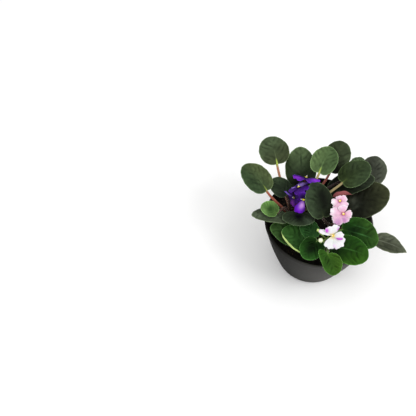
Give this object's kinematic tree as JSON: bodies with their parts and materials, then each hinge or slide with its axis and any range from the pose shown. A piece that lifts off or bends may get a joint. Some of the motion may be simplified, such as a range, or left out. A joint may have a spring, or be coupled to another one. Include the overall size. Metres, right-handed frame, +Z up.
{
  "type": "potted african violet",
  "caption": "Tapered round pot of compost planted with african violets, with round leaves on long stalks that spread over the rim and clusters of ruffled flowers held above them.",
  "frame": {"origin": "centre of the pot's underside", "axes": "+Z up along the pot's axis, -Y to the front, +X to the right of someone who stands in front"},
  "size_m": [0.2839, 0.2549, 0.1968],
  "materials": {
    "pot": "satin",
    "compost": "matte",
    "left_petioles": "satin",
    "left_flower_stalk": "satin",
    "left_leaves": "matte",
    "left_blooms": "matte",
    "right_petioles": "satin",
    "right_flower_stalk": "satin",
    "right_leaves": "matte",
    "right_blooms": "matte",
    "front_petioles": "satin",
    "front_flower_stalk": "satin",
    "front_leaves": "matte",
    "front_blooms": "matte",
    "anthers": "matte"
  },
  "bodies": {
    "root": {"pot": "pot", "compost": "compost", "left_crown": "left_petioles", "left_flower_stalk": "left_flower_stalk", "left_leaf_1": "left_leaves", "left_leaf_2": "left_leaves", "left_leaf_3": "left_leaves", "left_leaf_4": "left_leaves", "left_leaf_5": "left_leaves", "left_leaf_6": "left_leaves", "left_leaf_7": "left_leaves", "left_leaf_8": "left_leaves", "left_leaf_9": "left_leaves", "left_leaf_10": "left_leaves", "left_leaf_11": "left_leaves", "left_leaf_12": "left_leaves", "left_bloom_1": "left_blooms", "left_bloom_2": "left_blooms", "left_bloom_3": "left_blooms", "left_bloom_4": "left_blooms", "left_anthers_1": "anthers", "left_anthers_2": "anthers", "left_anthers_3": "anthers", "left_anthers_4": "anthers", "right_crown": "right_petioles", "right_flower_stalk": "right_flower_stalk", "right_leaf_1": "right_leaves", "right_leaf_2": "right_leaves", "right_leaf_3": "right_leaves", "right_leaf_4": "right_leaves", "right_bloom_1": "right_blooms", "right_bloom_2": "right_blooms", "right_anthers_1": "anthers", "right_anthers_2": "anthers", "front_crown": "front_petioles", "front_flower_stalk": "front_flower_stalk", "front_leaf_1": "front_leaves", "front_leaf_2": "front_leaves", "front_leaf_3": "front_leaves", "front_leaf_4": "front_leaves", "front_leaf_5": "front_leaves", "front_leaf_6": "front_leaves", "front_leaf_7": "front_leaves", "front_bloom_1": "front_blooms", "front_anthers_1": "anthers"}
  },
  "joints": []
}
